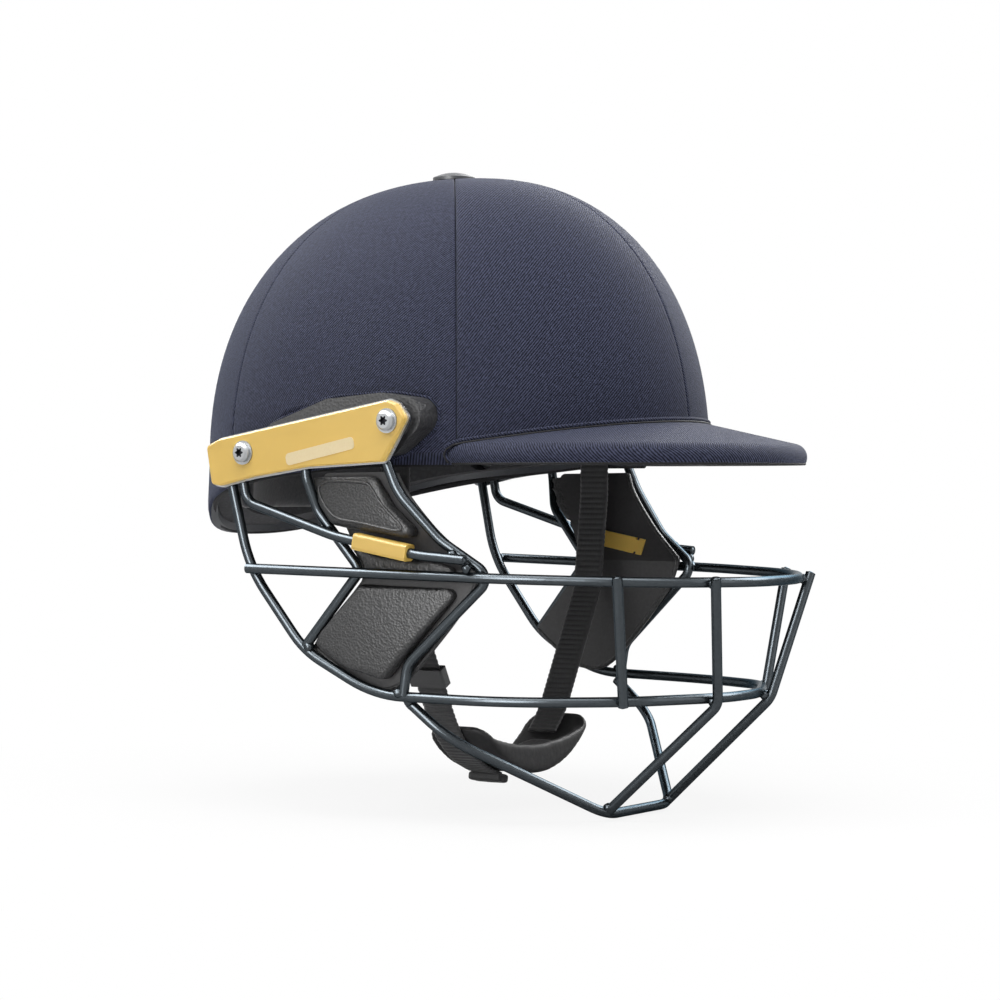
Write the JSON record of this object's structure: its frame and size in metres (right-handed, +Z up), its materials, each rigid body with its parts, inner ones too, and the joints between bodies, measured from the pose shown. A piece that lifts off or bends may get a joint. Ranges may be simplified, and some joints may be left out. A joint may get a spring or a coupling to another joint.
{
  "type": "cricket helmet",
  "caption": "Cloth covered cricket helmet with a flat peak, a welded wire face grille on side plates, cheek pads and a chin strap with a cup.",
  "frame": {"origin": "below the crown button, on the plane of symmetry, at the height of the peak's underside, which is the plane of the head opening", "axes": "+X forward over the peak, +Y to the wearer's left, +Z up through the crown button"},
  "size_m": [0.2968, 0.2238, 0.296],
  "materials": {
    "cloth": "woven twill, matt",
    "shell_plastic": "moulded, matt",
    "button_cloth": "satin",
    "foam": "bead foam, matt",
    "comfort_foam": "brushed cloth over foam",
    "black_moulding": "textured, matt",
    "steel": "bright, brushed",
    "plate_yellow": "smooth moulded",
    "wire_finish": "dark satin coating",
    "pad_board": "matt",
    "pad_leather": "grained leatherette",
    "webbing": "ribbed webbing",
    "cup_leather": "soft leatherette",
    "cup_lining": "brushed cloth",
    "slider_plastic": "satin"
  },
  "bodies": {
    "helmet": {"crown_panel_front_left": "cloth", "crown_panel_front_right": "cloth", "crown_panel_side_left": "cloth", "crown_panel_side_right": "cloth", "crown_panel_rear_left": "cloth", "crown_panel_rear_right": "cloth", "peak_cover_top": "cloth", "peak_cover_underside": "cloth", "outer_shell": "shell_plastic", "peak_core": "shell_plastic", "crown_button": "button_cloth", "impact_liner": "foam", "comfort_pad_front": "comfort_foam", "comfort_pad_rear": "comfort_foam", "comfort_pad_side_left": "comfort_foam", "comfort_pad_side_right": "comfort_foam", "comfort_pad_crown": "comfort_foam", "side_insert_left": "black_moulding", "side_insert_right": "black_moulding", "button_rivet": "steel", "plate_screws": "steel", "screw_washers": "steel", "t_nuts": "steel", "strap_rivets": "steel", "grille_bracket_left": "steel", "grille_bracket_right": "steel", "side_plate_left": "plate_yellow", "side_plate_right": "plate_yellow", "pad_clip_left": "plate_yellow", "pad_clip_right": "plate_yellow", "upper_bar": "wire_finish", "lower_bar": "wire_finish", "chin_bar": "wire_finish", "outer_bar_left": "wire_finish", "outer_bar_right": "wire_finish", "inner_bar_left": "wire_finish", "inner_bar_right": "wire_finish", "brace_wire_left": "wire_finish", "brace_wire_right": "wire_finish", "front_side_wire_left": "wire_finish", "front_side_wire_right": "wire_finish", "rear_side_wire_left": "wire_finish", "rear_side_wire_right": "wire_finish", "cheek_board_left": "pad_board", "cheek_board_right": "pad_board", "cheek_pad_upper_left": "pad_leather", "cheek_pad_upper_right": "pad_leather", "cheek_pad_middle_left": "pad_leather", "cheek_pad_middle_right": "pad_leather", "cheek_pad_lower_left": "pad_leather", "cheek_pad_lower_right": "pad_leather"},
    "chin_strap": {"strap_webbing_left": "webbing", "strap_webbing_right": "webbing", "chin_cup": "cup_leather", "chin_cup_lining": "cup_lining"},
    "slider": {"strap_slider": "slider_plastic"}
  },
  "joints": [
    {"name": "strap_swing", "type": "hinge", "parent": "helmet", "child": "chin_strap", "pos_m": [0.026, 0, 0.008], "axis": [0, 1, 0], "range_deg": [-12, 30]},
    {"name": "slider_run", "type": "slide", "parent": "chin_strap", "child": "slider", "axis": [0, 0.4748, -0.8801], "range_m": [-0.008, 0.008]}
  ]
}
